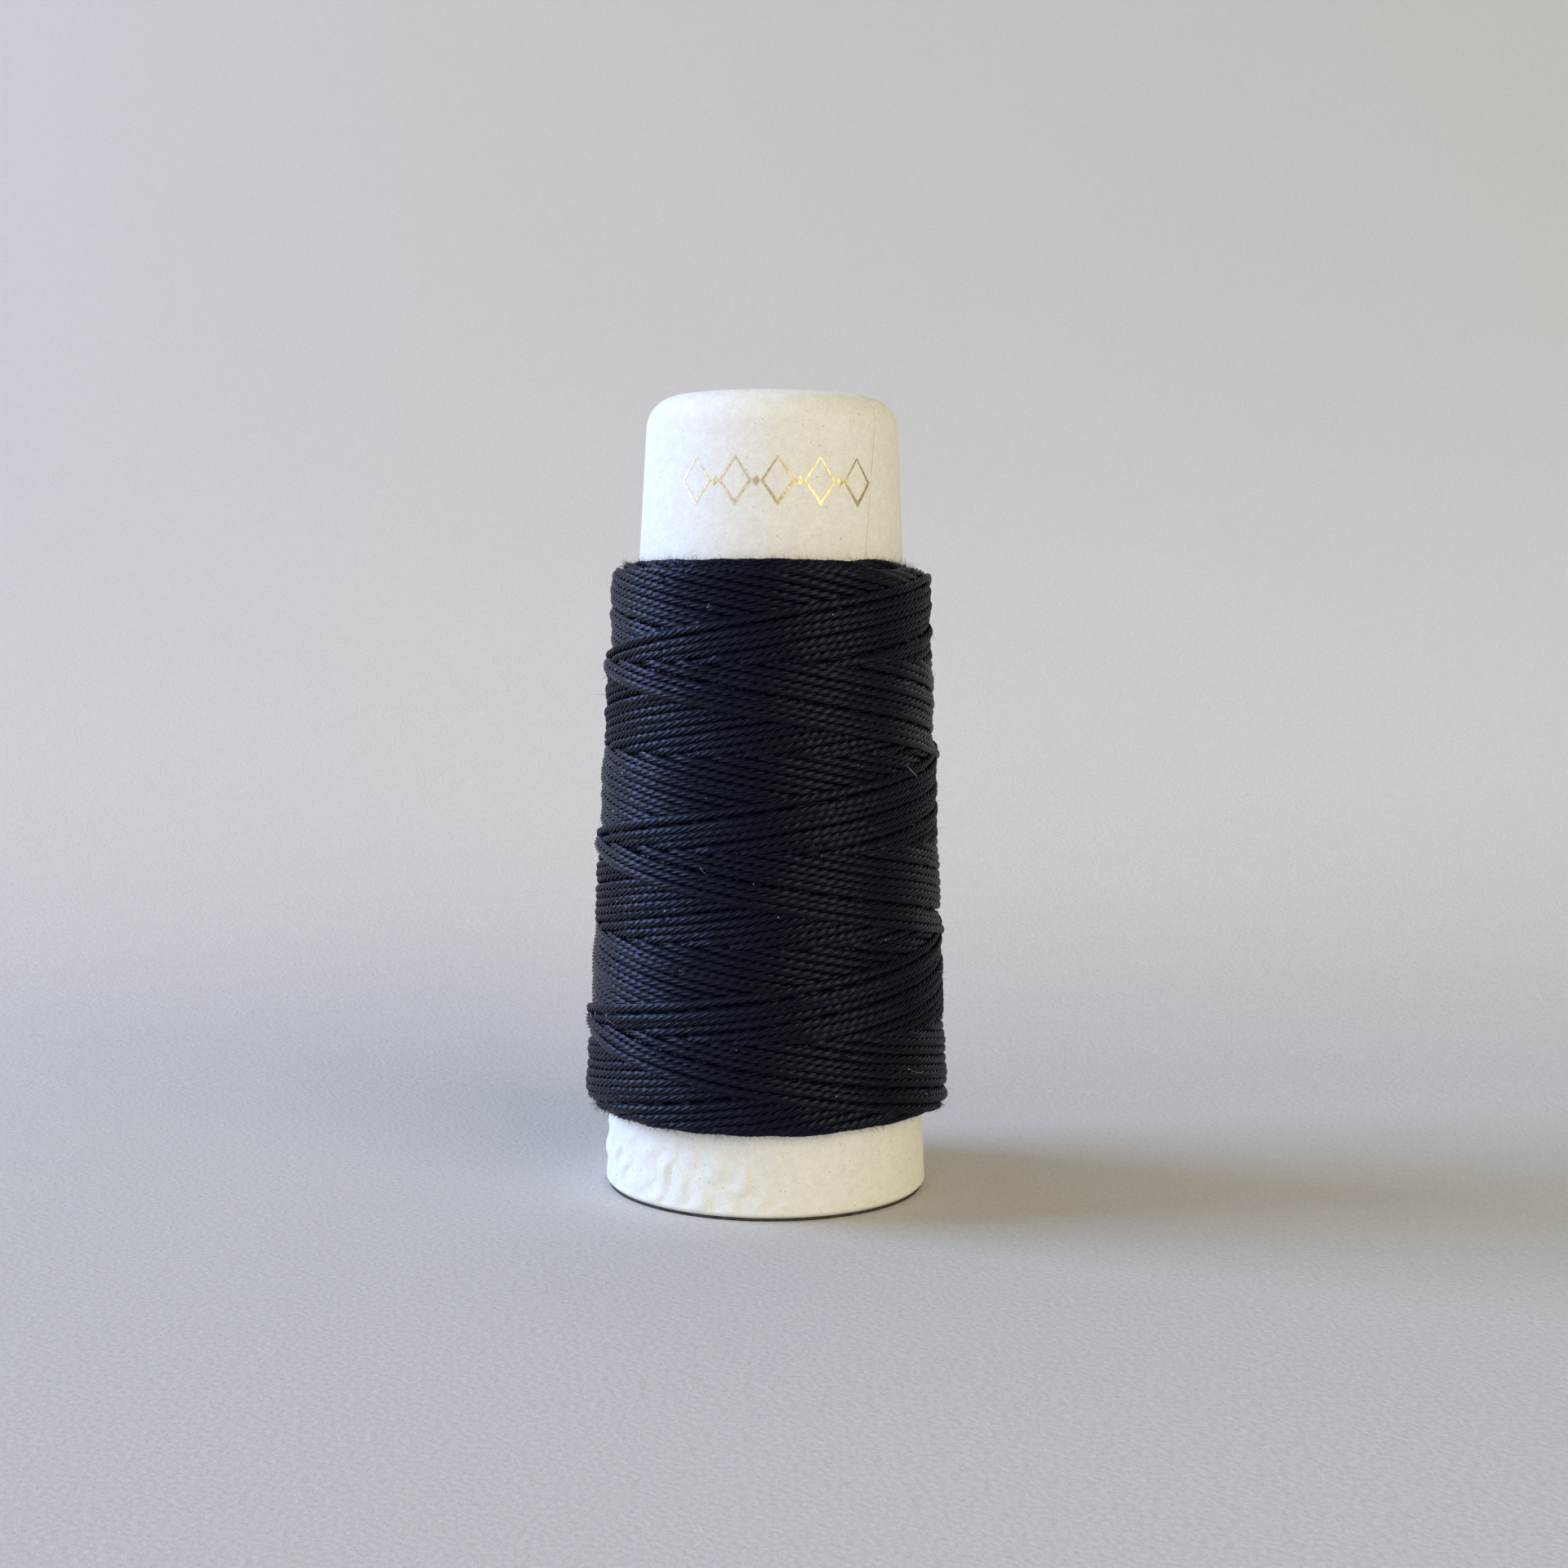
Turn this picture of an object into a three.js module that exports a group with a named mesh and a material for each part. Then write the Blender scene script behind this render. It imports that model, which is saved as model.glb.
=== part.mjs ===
// A small cone of hand-sewing thread: a tapered paper cone with a rolled nose,
// a foil ornament stamped near the nose, and one long cotton thread cross-wound on it.
// Millimetres, +Z up. The origin is the centre of the foot, and -Y is the front,
// where the ornament is.

import * as THREE from 'three';

// ---------------------------------------------------------------- driving dimensions

const CONE_HEIGHT = 70;
const FOOT_RADIUS = 14.4;        // outside of the cone where it stands
const TAPER = 0.049;             // radius lost for each millimetre of height
const FOOT_EDGE_ROUND = 0.25;    // on the cover, round the foot's outer edge
const NOSE_ROLL_RADIUS = 2.9;    // outside of the inward roll at the nose
const NOSE_ROLL_END = 150;       // degrees above the outward direction where the roll stops

// the plies of the cone's wall, from the outside in
const COVER_THICKNESS = 0.3;
const BOARD_THICKNESS = 0.93;
const LINER_THICKNESS = 0.23;
const PLY_GAP = 0.02;            // the glue line between two plies

// the wound thread
const WINDING_BOTTOM = 7.2;
const WINDING_TOP = 55.8;
const THREAD_DIAMETER = 0.7;
const LAYERS_UNDER = 2;          // hidden layers of thread below the last one
const WINDING_GAP = 0.04;        // air between the thread and what it lies on

// the foil ornament: lozenge outlines with a small filled lozenge between each two
const OUTLINE_COUNT = 5;
const OUTLINE_WIDTH = 2.9;
const OUTLINE_HEIGHT = 4.2;
const OUTLINE_STROKE = 0.24;
const BEAD_WIDTH = 0.7;
const BEAD_HEIGHT = 1;
const ORNAMENT_PITCH = 3.65;
const ORNAMENT_HEIGHT = 62.2;    // height of the row's centre line
const ORNAMENT_TURN = 2.5;       // degrees that the row's centre sits to the right of the front
const FOIL_THICKNESS = 0.1;
const FOIL_GAP = 0.02;

// how finely round shapes are divided
const TURN_SEGMENTS = 48;
const ROLL_STEPS = 5;            // in each half of the nose roll, up to its top and past it
const CORNER_STEPS = 3;
const OUTLINE_EDGE_STEPS = 4;    // a bead is too small to need any

// ---------------------------------------------------------------- derived dimensions

const TAPER_ANGLE = Math.atan(TAPER);
const ROLL_CENTRE_HEIGHT = CONE_HEIGHT - NOSE_ROLL_RADIUS;
const ROLL_CENTRE_RADIUS = coneRadius(ROLL_CENTRE_HEIGHT + NOSE_ROLL_RADIUS * Math.sin(TAPER_ANGLE))
  - NOSE_ROLL_RADIUS * Math.cos(TAPER_ANGLE);
const LAYER_STEP = THREAD_DIAMETER / Math.cos(TAPER_ANGLE);

// radius of the cone's outer surface at a height
function coneRadius(height) {
  return FOOT_RADIUS - TAPER * height;
}

// ---------------------------------------------------------------- shapes

// A closed outline in the (radius, height) plane, turned about the vertical axis.
// The outline runs up on its outer side and down on its inner side.
function turned(outline) {
  const closed = [...outline, outline[0].clone()];
  const geometry = new THREE.LatheGeometry(closed, TURN_SEGMENTS);
  geometry.rotateX(Math.PI / 2);
  return geometry;
}

// Points on a circular arc, angles in radians.
function arc(centreRadius, centreHeight, radius, from, to, steps) {
  const points = [];
  for (let step = 0; step <= steps; step += 1) {
    const angle = THREE.MathUtils.lerp(from, to, step / steps);
    const out = centreRadius + radius * Math.cos(angle);
    const up = centreHeight + radius * Math.sin(angle);
    points.push(new THREE.Vector2(out, up));
  }
  return points;
}

// The line that one face of a ply follows, at a depth below the cone's outer surface:
// straight up the taper and then round the nose roll.
function plyFace(depth, footHeight) {
  const footRadius = coneRadius(footHeight) - depth / Math.cos(TAPER_ANGLE);
  const foot = new THREE.Vector2(footRadius, footHeight);
  const rollRadius = NOSE_ROLL_RADIUS - depth;
  const top = Math.PI / 2;
  const end = THREE.MathUtils.degToRad(NOSE_ROLL_END);
  const rising = arc(ROLL_CENTRE_RADIUS, ROLL_CENTRE_HEIGHT, rollRadius, TAPER_ANGLE, top, ROLL_STEPS);
  const falling = arc(ROLL_CENTRE_RADIUS, ROLL_CENTRE_HEIGHT, rollRadius, top, end, ROLL_STEPS);
  return [foot, ...rising, ...falling.slice(1)];
}

// One ply of the wall: up its outer face, over the roll, and back down its inner face.
function ply(outerDepth, thickness) {
  const outer = plyFace(outerDepth, 0);
  const inner = plyFace(outerDepth + thickness, 0);
  return turned([...outer, ...inner.reverse()]);
}

// The cover ply, whose outer foot edge is rounded.
function coverPly() {
  const centre = coneRadius(FOOT_EDGE_ROUND) - FOOT_EDGE_ROUND;
  const edge = arc(centre, FOOT_EDGE_ROUND, FOOT_EDGE_ROUND, -Math.PI / 2, 0, CORNER_STEPS);
  const outer = plyFace(0, FOOT_EDGE_ROUND).slice(1);
  const inner = plyFace(COVER_THICKNESS, 0);
  return turned([...edge, ...outer, ...inner.reverse()]);
}

// A ring of wound thread between two depths outside the cone's surface. Its ends are
// pulled in by the roundness of the thread.
function windingRing(innerLift, outerLift) {
  const corner = THREAD_DIAMETER / 2;
  const lowOuter = coneRadius(WINDING_BOTTOM + corner) + outerLift;
  const highOuter = coneRadius(WINDING_TOP - corner) + outerLift;
  const lowCorner = arc(lowOuter - corner, WINDING_BOTTOM + corner, corner, -Math.PI / 2, 0, CORNER_STEPS);
  const highCorner = arc(highOuter - corner, WINDING_TOP - corner, corner, 0, Math.PI / 2, CORNER_STEPS);
  const highInner = new THREE.Vector2(coneRadius(WINDING_TOP) + innerLift, WINDING_TOP);
  const lowInner = new THREE.Vector2(coneRadius(WINDING_BOTTOM) + innerLift, WINDING_BOTTOM);
  return turned([...lowCorner, ...highCorner, highInner, lowInner]);
}

// The four edges of a lozenge, each divided into steps so that it can bend round the cone.
function lozengeEdges(width, height, steps) {
  const corners = [
    new THREE.Vector2(width / 2, 0),
    new THREE.Vector2(0, height / 2),
    new THREE.Vector2(-width / 2, 0),
    new THREE.Vector2(0, -height / 2),
  ];
  const points = [];
  corners.forEach((corner, index) => {
    const next = corners[(index + 1) % corners.length];
    for (let step = 0; step < steps; step += 1) {
      points.push(corner.clone().lerp(next, step / steps));
    }
  });
  return points;
}

// A lozenge drawn as an outline, whose stroke has the same width all round.
function outlineShape() {
  const inset = OUTLINE_STROKE * Math.hypot(OUTLINE_WIDTH, OUTLINE_HEIGHT);
  const holeWidth = OUTLINE_WIDTH - (2 * inset) / OUTLINE_HEIGHT;
  const holeHeight = OUTLINE_HEIGHT - (2 * inset) / OUTLINE_WIDTH;
  const shape = new THREE.Shape(lozengeEdges(OUTLINE_WIDTH, OUTLINE_HEIGHT, OUTLINE_EDGE_STEPS));
  shape.holes.push(new THREE.Path(lozengeEdges(holeWidth, holeHeight, OUTLINE_EDGE_STEPS)));
  return shape;
}

// A small filled lozenge.
function beadShape() {
  return new THREE.Shape(lozengeEdges(BEAD_WIDTH, BEAD_HEIGHT, 1));
}

// A flat shape given the foil's thickness and laid on the cone. Its x runs round the cone
// from the front, its y runs up the cone, and its z stands off the surface.
function laidOnCone(shape, centreAcross) {
  const geometry = new THREE.ExtrudeGeometry(shape, { depth: FOIL_THICKNESS, bevelEnabled: false });
  const rowRadius = coneRadius(ORNAMENT_HEIGHT);
  const place = geometry.getAttribute('position');
  for (let index = 0; index < place.count; index += 1) {
    const across = centreAcross + place.getX(index);
    const turn = across / rowRadius + THREE.MathUtils.degToRad(ORNAMENT_TURN);
    const lift = FOIL_GAP + place.getZ(index);
    const height = ORNAMENT_HEIGHT + place.getY(index);
    const radius = coneRadius(height) + lift;
    place.setXYZ(index, radius * Math.sin(turn), -radius * Math.cos(turn), height);
  }
  return geometry;
}

// ---------------------------------------------------------------- materials

function paperWhite() {
  return new THREE.MeshStandardMaterial({ color: 0xece8de, roughness: 0.8, metalness: 0 });
}

function greyBoard() {
  return new THREE.MeshStandardMaterial({ color: 0x45453f, roughness: 0.9, metalness: 0 });
}

function kraftPaper() {
  return new THREE.MeshStandardMaterial({ color: 0xa98f6d, roughness: 0.9, metalness: 0 });
}

function goldFoil() {
  return new THREE.MeshStandardMaterial({ color: 0xb99a55, roughness: 0.3, metalness: 1 });
}

function navyCotton() {
  return new THREE.MeshStandardMaterial({ color: 0x161a2c, roughness: 0.85, metalness: 0 });
}

// ---------------------------------------------------------------- the parts

function part(name, geometry, material) {
  const mesh = new THREE.Mesh(geometry, material);
  mesh.name = name;
  return mesh;
}

// The cone's wall: a white cover, a thick grey board and a thin kraft liner.
function paperCone() {
  const boardDepth = COVER_THICKNESS + PLY_GAP;
  const linerDepth = boardDepth + BOARD_THICKNESS + PLY_GAP;
  const cone = new THREE.Group();
  cone.add(part('cone_cover_paper', coverPly(), paperWhite()));
  cone.add(part('cone_board', ply(boardDepth, BOARD_THICKNESS), greyBoard()));
  cone.add(part('cone_liner_paper', ply(linerDepth, LINER_THICKNESS), kraftPaper()));
  return cone;
}

// The foil pieces, left to right.
function foilOrnament() {
  const ornament = new THREE.Group();
  const firstAcross = (-ORNAMENT_PITCH * (OUTLINE_COUNT - 1)) / 2;
  for (let index = 0; index < OUTLINE_COUNT; index += 1) {
    const across = firstAcross + index * ORNAMENT_PITCH;
    const outline = laidOnCone(outlineShape(), across);
    ornament.add(part(`foil_lozenge_${index + 1}`, outline, goldFoil()));
    if (index < OUTLINE_COUNT - 1) {
      const bead = laidOnCone(beadShape(), across + ORNAMENT_PITCH / 2);
      ornament.add(part(`foil_bead_${index + 1}`, bead, goldFoil()));
    }
  }
  return ornament;
}

// The thread: the layers wound first, and the last layer over them.
function woundThread() {
  const underThickness = LAYERS_UNDER * LAYER_STEP;
  const thread = new THREE.Group();
  const under = windingRing(WINDING_GAP, underThickness);
  const last = windingRing(underThickness + WINDING_GAP, underThickness + LAYER_STEP);
  thread.add(part('thread_first_layers', under, navyCotton()));
  thread.add(part('thread_last_layer', last, navyCotton()));
  return thread;
}

const threadCone = new THREE.Group();
threadCone.add(paperCone(), foilOrnament(), woundThread());

export default threadCone;
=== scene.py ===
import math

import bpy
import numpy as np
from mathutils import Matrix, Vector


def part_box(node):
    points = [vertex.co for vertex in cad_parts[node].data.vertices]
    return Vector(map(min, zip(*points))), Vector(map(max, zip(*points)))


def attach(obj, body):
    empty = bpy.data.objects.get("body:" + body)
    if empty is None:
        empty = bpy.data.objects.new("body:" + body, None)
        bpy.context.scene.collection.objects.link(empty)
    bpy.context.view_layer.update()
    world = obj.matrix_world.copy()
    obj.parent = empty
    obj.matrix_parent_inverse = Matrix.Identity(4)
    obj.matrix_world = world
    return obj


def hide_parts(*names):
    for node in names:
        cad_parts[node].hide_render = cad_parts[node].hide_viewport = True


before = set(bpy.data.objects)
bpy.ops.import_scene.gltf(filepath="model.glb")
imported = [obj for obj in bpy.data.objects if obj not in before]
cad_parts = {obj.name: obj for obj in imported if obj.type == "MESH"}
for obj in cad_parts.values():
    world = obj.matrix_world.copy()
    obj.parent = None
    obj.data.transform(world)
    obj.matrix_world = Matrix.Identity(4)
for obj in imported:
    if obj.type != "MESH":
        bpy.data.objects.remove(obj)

# A small cone of hand-sewing thread: a white paper cone with a rolled nose and a foil
# ornament, and one long navy cotton thread cross-wound on it. The winding is worked out
# the way a winder lays it, stroke after stroke, so the thread lies on what is under it.
# Lengths are millimetres until a mesh is made. Azimuth is measured from the front (-Y)
# towards the right (+X), in radians.

MM = 0.001
TURN = 2 * math.pi
RANDOM_SEED = 7

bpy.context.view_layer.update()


def box_mm(node):
    """Lowest and highest corner of a CAD node, in millimetres."""
    low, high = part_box(node)
    return np.array(low) / MM, np.array(high) / MM


# ------------------------------------------------------------------ driving dimensions

# the paper cone
CONE_CORNER = box_mm("cone_cover_paper")[1]
CONE_HEIGHT = CONE_CORNER[2]
FOOT_RADIUS = CONE_CORNER[0]
TAPER = 0.049                  # radius lost for each millimetre of height
TAPER_ANGLE = math.atan(TAPER)
NOSE_ROLL_RADIUS = 2.9
NOSE_ROLL_END = math.radians(150)
STRAIGHT_TOP = CONE_HEIGHT - NOSE_ROLL_RADIUS
ROLL_ROWS = 49
FOOT_EDGE_ROUND = 0.45
FOOT_GAP = 0.28                # the cover ends this far above the foot, and the board shows below; the board's near-black colour paints the shade in that gap
BOARD_DEPTH = FOOT_RADIUS - box_mm("cone_board")[1][0]
LINER_DEPTH = FOOT_RADIUS - box_mm("cone_liner_paper")[1][0]
WALL_THICKNESS = 1.5
PLY_GAP = 0.02                 # the glue line between two plies

# the cover's seam: the straight cut edge of its flat blank, with an open crack beside it
SEAM_STEP = 0.04               # how far the pressed lap stands out at its cut edge
SEAM_RISE = 0.3                # the lap rises over this length to its cut edge
CRACK_DEPTH = 0.25             # near the nose; it is closed at the foot
CRACK_HALF_WIDTH = 0.09
SEAM_AT_FOOT = math.radians(11.5)
SEAM_FROM_APEX = 34            # how near the blank's edge passes to the cone's apex

# how finely the wall is divided
COVER_ROW = 0.15               # where the ridges are
COVER_COLUMNS = 440
HIDDEN_ROWS = 13               # of the cover, under the winding
BARE_ROWS = 24                 # of the cover, from the winding to the nose roll
FOOT_EDGE_ROWS = 7
PLY_ROWS = 36
PLY_COLUMNS = 180

# the ridges pressed into the foot: each rises gently from the left and drops on its right
RIDGE_COUNT = 37
RIDGE_LEAN = math.radians(20)
RIDGE_HEIGHT = 0.31
RIDGE_DROP = 0.38              # the share of a ridge's width that its drop takes
RIDGE_SINK = 0.3               # of its height that a ridge's foot lies below the plain paper
RIDGE_FOOT = (0.3, 1.1)        # the ridges fade in between these heights
RIDGE_TOP = 6.8
RIDGE_TOP_FADE = 1.8
RIDGE_WORN = 0.08              # of its height that is left where a ridge is worn
# past the seam, the wear fades out over the first of these turns and sets in again over the second
WORN_END = (math.radians(60), math.radians(170))
WORN_START = (math.radians(349), math.radians(358))
RIDGE_WANDER = 0.12            # ridge widths that a ridge strays along its length
RIDGE_WANDER_RISE = 1.9        # radians of that straying for each millimetre up
RIDGE_WANDER_TURNS = 9         # and its waves in one turn of the cone
RIDGE_SHIFT = 0.15             # ridge widths that a whole ridge is out of place
RIDGE_SHIFT_TURNS = 11
BUMP_LENGTH = 3.1              # each ridge is a row of bumps this long
BUMP_DEPTH = 0.38              # from the mean of a bump to its crest, as a share
BUMP_OFFSET = 0.37             # how far the bumps of two neighbours are out of step
RIDGE_UNEVENNESS = 0.3
RIDGE_UNEVENNESS_STEP = 2.4    # radians of the unevenness from each ridge to the next
RELIEF_FADE_IN = 1             # relief fades over this length from the foot's edge
RELIEF_FADE_OUT = 1.5          # and over this length at the end of the nose roll

# the foil ornament
FOIL_BOTTOM, FOIL_TOP = [corner[2] for corner in box_mm("foil_lozenge_1")]
OUTLINE_COUNT = 5
OUTLINE_WIDTH = 2.9
OUTLINE_STROKE = 0.2
BEAD_WIDTH = 0.7
BEAD_HEIGHT = 1.0
ORNAMENT_PITCH = 3.65
ORNAMENT_TURN = math.radians(2.5)
OUTLINE_EDGE_STEPS = 24
OUTLINE_SWELL = 0.35           # how much wider the line is at the foot than at mid height
BEAD_EDGE_STEPS = 8
FOIL_LIFT = 0.006
FOIL_THICKNESS = 0.02
FOIL_BEVEL = 0.995             # size of the line's top edges beside its bottom ones
BEAD_BEVEL = 0.97
BEAD_FLAT = 0.4                # the share of a bead that its raised flat top takes
BEAD_RISE = 0.01

# the wound thread
WINDING_LOW, WINDING_HIGH = box_mm("thread_last_layer")
WINDING_BOTTOM = WINDING_LOW[2]
WINDING_TOP = WINDING_HIGH[2]
THREAD_HALF_WIDTH = 0.395      # as it lies, flattened by its neighbours
THREAD_HALF_HEIGHT = 0.255
THREAD_SQUASH = 0.13           # how far a crossing sinks into the thread below
THREAD_HARDNESS = 0.3          # 1 rests on the highest point below, 0 on the mean
PLY_COUNT = 6
TWIST_PITCH = 5.2
GROOVE_DEPTH = 0.6             # between two plies, as a share of the thread's radius
TURNS_PER_STROKE = 3
DOUBLE_STROKES = 55            # makes 29.6 m of thread
OUTER_STROKES = 22             # the last of them, which cover the rest
OUTER_SHIFT = math.radians(16.2)
INNER_SHIFT = TURN / (DOUBLE_STROKES - OUTER_STROKES)
LAST_REVERSAL = math.radians(85)
EDGE_SCATTER = 0.35            # how far short of the edge a stroke may turn back
TOP_RISE = 0.4                 # the first strokes head this far above the CAD ring
TOP_SHOULDER = 1.1             # and the last one heads this much lower than the first
REVERSAL_WIDTH = math.radians(50)
LINE_SCATTER = math.radians(0.3)

# the hairs that stand off the thread, and the lint on it
HAIR_POINTS = 5
HAIR_SIDES = 3
HAIR_RADIUS = 0.017
HAIR_TAPER = 0.6               # of its radius that a hair has lost at its tip
HAIR_LENGTH = (0.3, 1.2)
HAIR_BEND = (0.4, 3.0)         # radians for each millimetre
HAIR_SPREAD = 1.0
HAIR_ROOT = 0.8                # how far out in the thread a hair starts, as a share
OUTWARD_PULL = 0.3             # how much hairs and lint favour the outward direction
SURFACE_HAIRS = 2400
EDGE_HAIRS = 4800
EDGE_BAND = 1.0                # the edge hairs start within this of an edge
SPECK_COUNT = 240
SPECK_RADIUS = 0.05
SPECK_LENGTH = (0.05, 0.22)
PALE_HAIRS = 36
PALE_HAIR_RADIUS = 0.02
PALE_HAIR_LENGTH = (0.8, 2.4)
LINT_BEND = (0.5, 2.5)         # radians for each millimetre
LINT_SPREAD = 0.6
LINT_ROOT = 1.1                # lint starts just off the thread


def cone_radius(height):
    """Outer radius of the paper cone."""
    return FOOT_RADIUS - TAPER * height


def smooth_step(low, high, value):
    """0 below low, 1 above high and a smooth rise between."""
    share = np.clip((value - low) / (high - low), 0, 1)
    return share * share * (3 - 2 * share)


# ------------------------------------------------------------------ mesh making

def make_mesh(name, points, faces, corner_uv=None, smooth=True):
    """An object from points in millimetres and a list of face arrays, each (count, sides)."""
    mesh = bpy.data.meshes.new(name)
    corners = np.concatenate([block.ravel() for block in faces])
    sides = np.concatenate([np.full(len(block), block.shape[1]) for block in faces])
    mesh.vertices.add(len(points))
    mesh.vertices.foreach_set("co", (points * MM).astype(np.float32).ravel())
    mesh.loops.add(len(corners))
    mesh.loops.foreach_set("vertex_index", corners.astype(np.int32))
    mesh.polygons.add(len(sides))
    starts = np.concatenate([[0], np.cumsum(sides)[:-1]])
    mesh.polygons.foreach_set("loop_start", starts.astype(np.int32))
    if corner_uv is not None:
        layer = mesh.uv_layers.new(name="lay")
        layer.data.foreach_set("uv", corner_uv.astype(np.float32).ravel())
    mesh.update(calc_edges=True)
    mesh.polygons.foreach_set("use_smooth", np.full(len(sides), smooth))
    piece = bpy.data.objects.new(name, mesh)
    bpy.context.scene.collection.objects.link(piece)
    return piece


def grid_faces(rows, columns, closed_rows, closed_columns):
    """Quads over a grid of points numbered row by row."""
    row = np.arange(rows if closed_rows else rows - 1)
    column = np.arange(columns if closed_columns else columns - 1)
    row, column = np.meshgrid(row, column, indexing="ij")
    next_row = (row + 1) % rows
    next_column = (column + 1) % columns
    quads = [
        row * columns + column,
        row * columns + next_column,
        next_row * columns + next_column,
        next_row * columns + column,
    ]
    return np.stack(quads, axis=-1).reshape(-1, 4)


def around(radius, azimuth, height):
    """Points from cylindrical coordinates."""
    return np.stack([radius * np.sin(azimuth), -radius * np.cos(azimuth), height], axis=-1)


def finished(piece, material, slot, *nodes):
    """Gives a piece its material and its body, and hides the CAD nodes that it stands for. The slot
    is not used.
    """
    piece.data.materials.append(material)
    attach(piece, "root")
    if nodes:
        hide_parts(*nodes)
    return piece


# ------------------------------------------------------------------ the paper cone

def wall_line(depth, heights):
    """One face of a ply as (radius, height) rows: up the taper, then round the nose roll."""
    centre_radius = cone_radius(STRAIGHT_TOP + NOSE_ROLL_RADIUS * math.sin(TAPER_ANGLE))
    centre_radius -= NOSE_ROLL_RADIUS * math.cos(TAPER_ANGLE)
    straight = np.stack([cone_radius(heights) - depth / math.cos(TAPER_ANGLE), heights], axis=1)
    angle = np.linspace(TAPER_ANGLE, NOSE_ROLL_END, ROLL_ROWS)
    roll_radius = NOSE_ROLL_RADIUS - depth
    roll_out = centre_radius + roll_radius * np.cos(angle)
    roll_up = STRAIGHT_TOP + roll_radius * np.sin(angle)
    return np.concatenate([straight, np.stack([roll_out, roll_up], axis=1)])


def seam_azimuth(path):
    """Azimuth of the cover's seam at a distance along the wall from the foot."""
    apex_distance = FOOT_RADIUS / math.sin(TAPER_ANGLE)
    at_foot = math.acos(SEAM_FROM_APEX / apex_distance)
    here = np.arccos(SEAM_FROM_APEX / (apex_distance - path))
    return SEAM_AT_FOOT + (at_foot - here) / math.sin(TAPER_ANGLE)


def foot_ridges(turn_from_seam, azimuth, height):
    """How far the ridges pressed into the foot stand out. They are worn near the seam."""
    lean = height * math.tan(RIDGE_LEAN) / FOOT_RADIUS
    across = RIDGE_COUNT * (azimuth - lean) / TURN
    across = across + RIDGE_WANDER * np.sin(RIDGE_WANDER_RISE * height + RIDGE_WANDER_TURNS * azimuth)
    across = across + RIDGE_SHIFT * np.sin(RIDGE_SHIFT_TURNS * azimuth)
    number = np.floor(across)
    share = across - number
    rise = smooth_step(0, 1 - RIDGE_DROP, share)
    ridge = rise - smooth_step(1 - RIDGE_DROP, 1, share)
    wave = np.cos(TURN * (height / BUMP_LENGTH + BUMP_OFFSET * number))
    bump = 1 - BUMP_DEPTH + BUMP_DEPTH * wave
    uneven = 1 - RIDGE_UNEVENNESS + RIDGE_UNEVENNESS * np.sin(RIDGE_UNEVENNESS_STEP * number)
    crisp = smooth_step(*WORN_END, turn_from_seam) * (1 - smooth_step(*WORN_START, turn_from_seam))
    worn = RIDGE_WORN + (1 - RIDGE_WORN) * crisp
    top_fade = smooth_step(RIDGE_TOP - RIDGE_TOP_FADE, RIDGE_TOP, height)
    band = smooth_step(*RIDGE_FOOT, height) * (1 - top_fade)
    return RIDGE_HEIGHT * worn * uneven * band * (ridge * bump - RIDGE_SINK)


def seam_relief(turn_from_seam, height):
    """The lap, which rises to its cut edge left of the seam, and the crack at the seam itself."""
    to_seam = (TURN - turn_from_seam) * cone_radius(height)
    lap = SEAM_STEP * (1 - smooth_step(0, SEAM_RISE, to_seam))
    crack = CRACK_DEPTH * smooth_step(0, WINDING_TOP, height)
    return np.where(turn_from_seam > 0, lap, -crack)


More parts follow.
